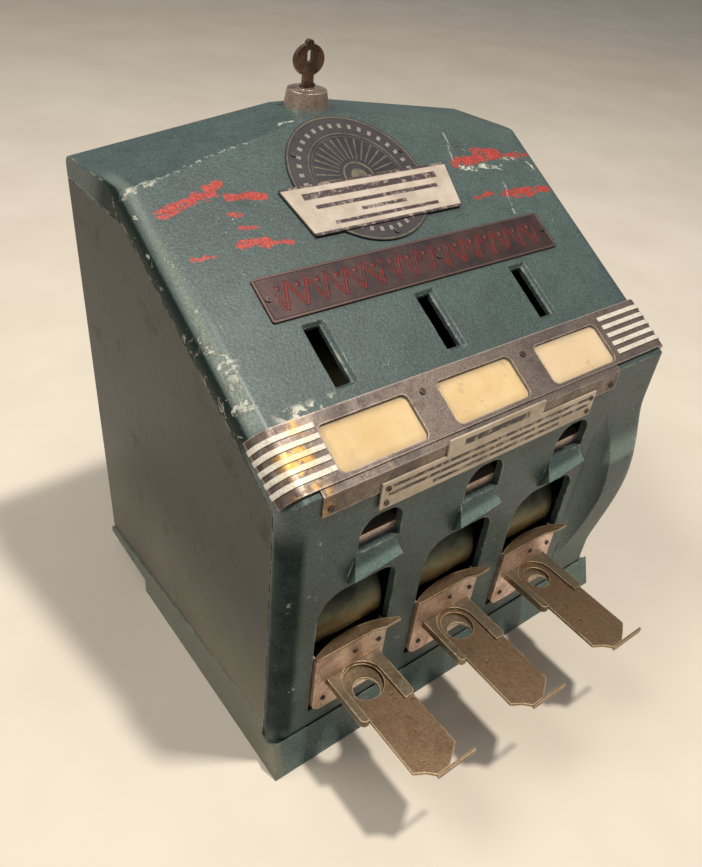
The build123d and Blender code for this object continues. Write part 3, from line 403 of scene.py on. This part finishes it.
def drum_brass(name):
    """Brass painted dark olive for the shade inside the openings, with a painted reflection of lighter brass
    low on its front.
    """
    m = Mat(name)
    _, y, z = m.axes()
    lines = m.noise(300, 3, 0.6, vector=m.scaled((0.3, 2, 2)))
    cloud = m.noise(40, 5, 0.65)
    # low on its front: a painted reflection, lighter brass
    low = m.inverse(m.step(z, DRUM_GLOW_FULL, DRUM_GLOW_NONE))
    painted_shine = m.times(low, m.below(y, -0.10, -0.09), m.plus(0.55, m.times(lines, 0.45)))
    colour = m.mix(m.step(cloud, 0.35, 0.68), rgb(90, 94, 80), rgb(46, 52, 42))
    m.set(Base_Color=m.mix(painted_shine, colour, rgb(160, 144, 98)), Metallic=0.8,
          Roughness=m.plus(0.28, m.times(cloud, 0.2)),
          Normal=m.bump(lines, 0.00012, 0.6, soften=0.0005))
    return m.mat


# ------------------------------------------------------------------ cards, paper and panes
def card(name, light, dark):
    """Aged blank card, with painted shade along its upper and lower rim. The right-hand card is paler."""
    m = Mat(name)
    across, up = m.panel()
    colour = m.mix(m.step(m.noise(28, 5, 0.65), 0.35, 0.7), light, dark)
    colour = m.lay(colour, rgb(226, 202, 170), m.step(across, 0.025, 0.035), 0.55)
    colour = m.lay(colour, rgb(214, 162, 90), m.step(m.noise(17, 4, 0.7), 0.48, 0.68), 0.35)
    # painted shade along the upper and lower rim of the card
    colour = m.lay(colour, shade(dark, 0.62), m.inverse(m.band(up, CARD_LOW, CARD_HIGH, 0.0025)), 0.5)
    colour = m.lay(colour, rgb(150, 110, 60), m.step(m.noise(60, 6, 0.75), 0.60, 0.66), 0.35)
    m.set(Base_Color=colour, Roughness=0.75, Normal=m.bump(m.noise(900, 2, 0.5), 0.00008, 0.5))
    return m.mat


def rolled_paper(name, light, dark):
    """Blank paper wound on a roll, with its turns as fine lines."""
    m = Mat(name)
    turns = m.noise(700, 2, 0.5, vector=m.scaled((3, 0.4, 0.4)))
    m.set(Base_Color=m.mix(m.step(m.noise(30, 5), 0.35, 0.7), light, dark), Roughness=0.8,
          Normal=m.bump(turns, 0.0001, 0.6))
    return m.mat


def pane(name):
    """Clear pane with smears and dust."""
    m = Mat(name)
    floor_bounce = m.step(m.noise(40, 6, 0.7), 0.5, 0.75)
    m.set(Base_Color=rgb(236, 240, 232), Roughness=m.plus(0.06, m.times(m.noise(90, 5, 0.7), 0.18)),
          Alpha=m.plus(0.10, m.times(floor_bounce, 0.12)), IOR=1.45)
    return m.mat


# ------------------------------------------------------------------ plates with generic designs
def medallion_enamel(name):
    """Worn enamel disc: rings, dots and a plain burst of rays."""
    m = Mat(name)
    across, up = m.panel()
    dx = m.less(across, MEDAL_ACROSS)
    dy = m.less(up, MEDAL_UP)
    far = m.hypot(dx, dy)
    turn = m.math("DIVIDE", m.math("ARCTAN2", dy, dx), 2 * math.pi)

    def saw(count):
        """0 to 0.5 and back, count times round the disc."""
        part = m.math("FRACT", m.plus(m.times(turn, count), 8.0))
        return m.math("ABSOLUTE", m.less(part, 0.5))
    rings = m.most(m.band(far, 0.0462, 0.0474, 0.00015), m.band(far, 0.0332, 0.0340, 0.00015),
                   m.band(far, 0.0312, 0.0316, 0.00012))
    rays = m.times(m.step(saw(32), 0.37, 0.40), m.band(far, 0.0135, 0.0300, 0.0002))
    hub = m.most(m.band(far, 0.0098, 0.0112, 0.00015), m.step(m.less(0.006, far), 0.0, 0.0003))
    dots = m.times(m.step(saw(36), 0.30, 0.33), m.band(far, 0.0382, 0.0414, 0.0003))
    lines = m.most(rings, rays, hub, dots)
    wear = m.step(m.noise(120, 6, 0.75), 0.42, 0.58)
    colour = m.mix(m.step(m.noise(45, 6, 0.7), 0.35, 0.7), rgb(61, 58, 63), rgb(42, 40, 47))
    colour = m.lay(colour, rgb(80, 73, 71), m.band(far, 0.0345, 0.0455, 0.0006), 0.35)
    colour = m.lay(colour, rgb(122, 112, 89), m.times(lines, m.inverse(m.times(wear, 0.55))), 0.9)
    colour = m.lay(colour, rgb(153, 145, 139), dots, m.inverse(m.times(wear, 0.3)))
    m.set(Base_Color=colour, Metallic=0.30, Roughness=0.42,
          Normal=m.bump(m.plus(lines, m.times(m.noise(260, 3), 0.3)), 0.00018, 0.7, soften=0.0004))
    return m.mat


def banner_enamel(name):
    """Pale banner with a border and four plain rules."""
    m = Mat(name)
    across, up = m.panel()
    rules = []
    for low, high, left, right in ((0.1738, 0.1784, -0.053, 0.051), (0.1666, 0.1694, -0.048, 0.047),
                                   (0.1604, 0.1629, -0.018, 0.017), (0.1543, 0.1568, -0.041, 0.040)):
        rules.append(m.times(m.band(up, low, high, 0.0003), m.band(across, left, right, 0.0004)))
    border = m.inverse(m.band(up, 0.1512, 0.1823, 0.0003))
    kept = m.inverse(m.times(m.step(m.noise(200, 5, 0.75), 0.5, 0.6), 0.5))
    ground = m.mix(m.step(m.noise(48, 6, 0.7), 0.38, 0.68), rgb(204, 190, 174), rgb(182, 166, 148))
    m.set(Base_Color=m.lay(ground, rgb(66, 48, 52), m.most(border, *rules), kept), Roughness=0.45,
          Normal=m.bump(m.noise(300, 3), 0.00012, 0.6, soften=0.0004))
    return m.mat


def name_enamel(name):
    """Bronze plate with a worn red zigzag and pips."""
    m = Mat(name)
    across, up = m.panel()
    part = m.math("FRACT", m.plus(m.math("DIVIDE", across, 0.0132), 40.0))
    wave = m.math("ABSOLUTE", m.less(part, 0.5))
    level = m.math("DIVIDE", m.less(up, 0.1104), 0.0163)
    off_line = m.less(level, m.times(wave, 2.0))
    zigzag = m.times(m.band(off_line, -0.21, 0.21, 0.03), m.band(up, 0.1098, 0.1272, 0.0003))
    shape = m.less(zigzag, m.times(m.band(off_line, -0.07, 0.07, 0.03), 0.8), clamp=True)
    pips = m.times(m.band(part, 0.42, 0.58, 0.03), m.band(up, 0.1222, 0.1248, 0.0003))
    shape = m.times(m.most(shape, pips), m.band(across, -0.1020, 0.1040, 0.0005))
    rim = m.inverse(m.times(m.band(up, 0.1060, 0.1310, 0.0003), m.band(across, -0.1095, 0.1125, 0.0003)))
    worn = m.step(m.noise(110, 6, 0.75), 0.46, 0.60)
    colour = m.mix(m.step(m.noise(60, 6, 0.7), 0.35, 0.7), rgb(74, 53, 50), rgb(44, 35, 39))
    colour = m.lay(colour, rgb(120, 33, 28), shape, m.inverse(m.times(worn, 0.75)))
    colour = m.lay(colour, rgb(100, 80, 72), rim, 0.7)
    height = m.plus(m.most(shape, rim), m.times(m.noise(260, 3), 0.3))
    m.set(Base_Color=colour, Metallic=0.45, Roughness=0.45,
          Normal=m.bump(height, 0.0004, 0.8, soften=0.0004))
    return m.mat


def directions_enamel(name):
    """Pale plate with plain worn rules: a short thick one above three thin ones."""
    m = Mat(name)
    x, _, z = m.axes()
    rules = []
    half = 0.0012
    for middle, left, right in ((0.2192, -0.090, 0.070), (0.2142, -0.092, 0.071), (0.2092, -0.060, 0.045)):
        rules.append(m.times(m.band(z, middle - half, middle + half, 0.0002), m.band(x, left, right, 0.0004)))
    rules.append(m.times(m.band(z, 0.2262, 0.2305, 0.0003), m.band(x, -0.040, 0.012, 0.0005)))
    kept = m.inverse(m.times(m.step(m.noise(150, 6, 0.75), 0.48, 0.6), 0.7))
    ground = m.mix(m.step(m.noise(55, 6, 0.7), 0.35, 0.7), rgb(206, 190, 168), rgb(168, 152, 132))
    m.set(Base_Color=m.lay(ground, rgb(58, 50, 48), m.most(*rules), kept), Metallic=0.1, Roughness=0.45,
          Normal=m.bump(m.noise(300, 3), 0.00012, 0.6, soften=0.0004))
    return m.mat


# ------------------------------------------------------------------ one material for each slot of the record
SLOT_MATERIALS = {
    "cover_paint": cover_enamel("cover_enamel", rgb(80, 98, 95), rgb(61, 77, 76)),
    "case_paint": side_enamel("case_enamel", rgb(51, 56, 49), rgb(38, 42, 37)),
    # the base: the cover's teal painted lighter, standing for the bounce light from the floor
    "base_paint": side_enamel("base_enamel", rgb(98, 120, 114), rgb(76, 96, 94)),
    "strip_metal": metal("strip_plate", rgb(144, 130, 120), rgb(100, 90, 86), rough=0.36, grain=(0.4, 2, 2),
                         stain=0.35, metallic=0.75, edge=0.9, reflection_tint=rgb(200, 152, 74)),
    "white_enamel": metal("bar_enamel", rgb(236, 230, 214), rgb(214, 204, 186), rough=0.35, grain=(0.3, 2, 2),
                          stain=0.3, metallic=0.1, reflection_tint=rgb(232, 206, 150)),
    "card": card("price_card", rgb(240, 208, 150), rgb(228, 190, 124)),
    "pane": pane("pane"),
    "bronze": metal("guide_bronze", rgb(158, 142, 118), rgb(104, 90, 72), rough=0.30, stain=0.45, edge=0.9,
                    shine_colour=rgb(232, 216, 176)),
    "nickel": metal("slide_nickel", rgb(160, 132, 104), rgb(112, 89, 67), rough=0.30, grain=(1.3, 0.8, 1),
                    stain=0.55, edge=0.85, shine_colour=rgb(226, 208, 172)),
    "tan_plate": metal("face_metal", rgb(246, 220, 206), rgb(190, 160, 142), rough=0.34, stain=0.6, edge=0.85,
                       shine_colour=rgb(240, 212, 160)),
    "directions": directions_enamel("directions_print"),
    "name_enamel": name_enamel("name_enamel"),
    "medal_enamel": medallion_enamel("medallion_enamel"),
    "banner_enamel": banner_enamel("banner_enamel"),
    "steel": metal("rivet_steel", rgb(92, 82, 74), rgb(44, 40, 36), rough=0.35, edge=0.4),
    "lock_metal": metal("lock_nickel", rgb(226, 202, 182), rgb(160, 138, 122), rough=0.30, stain=0.6,
                        edge=0.5),
    "dark_steel": metal("inner_steel", rgb(80, 76, 72), rgb(44, 42, 40), rough=0.45),
    "roll_paper": rolled_paper("roll_paper", rgb(226, 214, 186), rgb(204, 190, 158)),
    "drum_brass": drum_brass("drum_brass"),
}
NODE_MATERIALS = {
    "key": metal("key_bronze", rgb(118, 94, 80), rgb(64, 52, 44), rough=0.32, stain=0.4, edge=0.45),
}
slots = {entry["node"]: entry["material_slot"] for entry in frame["record"]["subparts"]}
for node_name, node_object in frame["nodes"].items():
    node_object.data.materials.clear()
    node_object.data.materials.append(NODE_MATERIALS.get(node_name) or SLOT_MATERIALS[slots[node_name]])


# ------------------------------------------------------------------ floor
FLOOR_HALF = 6


def pale_floor(half):
    """Square of pale cloth under the machine."""
    mesh = bpy.data.meshes.new("floor")
    corners = [(-half, -half, 0), (half, -half, 0), (half, half, 0), (-half, half, 0)]
    mesh.from_pydata(corners, [], [(0, 1, 2, 3)])
    floor = bpy.data.objects.new("floor", mesh)
    bpy.context.collection.objects.link(floor)
    m = Mat("pale_cloth")
    cloud = m.step(m.noise(5, 3), 0.3, 0.7)
    m.set(Base_Color=m.mix(cloud, rgb(234, 224, 208), rgb(226, 215, 199)), Roughness=0.9)
    mesh.materials.append(m.mat)


pale_floor(FLOOR_HALF)

# ------------------------------------------------------------------ light
WORLD_GREY = 0.97
WORLD_STRENGTH = 0.22

scene = bpy.context.scene
scene.view_settings.view_transform = "Standard"
world = bpy.data.worlds.new("studio")
world.use_nodes = True
background = world.node_tree.nodes["Background"]
background.inputs["Color"].default_value = (WORLD_GREY, WORLD_GREY, WORLD_GREY, 1)
background.inputs["Strength"].default_value = WORLD_STRENGTH
scene.world = world


def lamp(name, place, aim, size, power, colour):
    """Square lamp that faces aim: size in metres, power in watts."""
    data = bpy.data.lights.new(name, "AREA")
    data.size = size
    data.energy = power
    data.color = colour
    made = bpy.data.objects.new(name, data)
    made.location = place
    made.rotation_euler = (Vector(aim) - Vector(place)).to_track_quat("-Z", "Y").to_euler()
    bpy.context.collection.objects.link(made)


lamp("key", place=(0.40, -0.50, 2.38), aim=(0, 0, 0.1), size=0.16, power=41, colour=(1.0, 0.94, 0.86))
lamp("back", place=(-0.95, 0.60, 1.90), aim=(-0.1, 0, 0.1), size=0.8, power=15, colour=(1.0, 0.95, 0.88))
lamp("side", place=(-1.5, 0.1, 1.25), aim=(-0.1, 0, 0.2), size=0.30, power=3.0, colour=(1.0, 0.97, 0.92))

# ------------------------------------------------------------------ camera, fitted to the photo
PHOTO_WIDTH_PX = 702
FOCAL_PX = 770.4
RAISE_PX = 16.2
SIDE_SHIFT = -0.0008
SENSOR_MM = 36.0
CAMERA_PLACE = Vector((-0.3078, -0.3315, 0.4808))
CAMERA_TURN = Vector((2.181, -0.676, 0.451))  # world to camera: the axis, as long as the angle in radians

camera_data = bpy.data.cameras.new("camera")
camera_data.sensor_fit = "HORIZONTAL"
camera_data.sensor_width = SENSOR_MM
camera_data.lens = FOCAL_PX / PHOTO_WIDTH_PX * SENSOR_MM
camera_data.shift_x = SIDE_SHIFT
camera_data.shift_y = RAISE_PX / PHOTO_WIDTH_PX
camera = bpy.data.objects.new("camera", camera_data)
bpy.context.collection.objects.link(camera)
world_to_camera = Matrix.Rotation(CAMERA_TURN.length, 3, CAMERA_TURN.normalized())
looks_down_minus_z = Matrix(((1, 0, 0), (0, -1, 0), (0, 0, -1)))
camera_to_world = world_to_camera.transposed() @ looks_down_minus_z
camera.matrix_world = Matrix.Translation(CAMERA_PLACE) @ camera_to_world.to_4x4()
scene.camera = camera
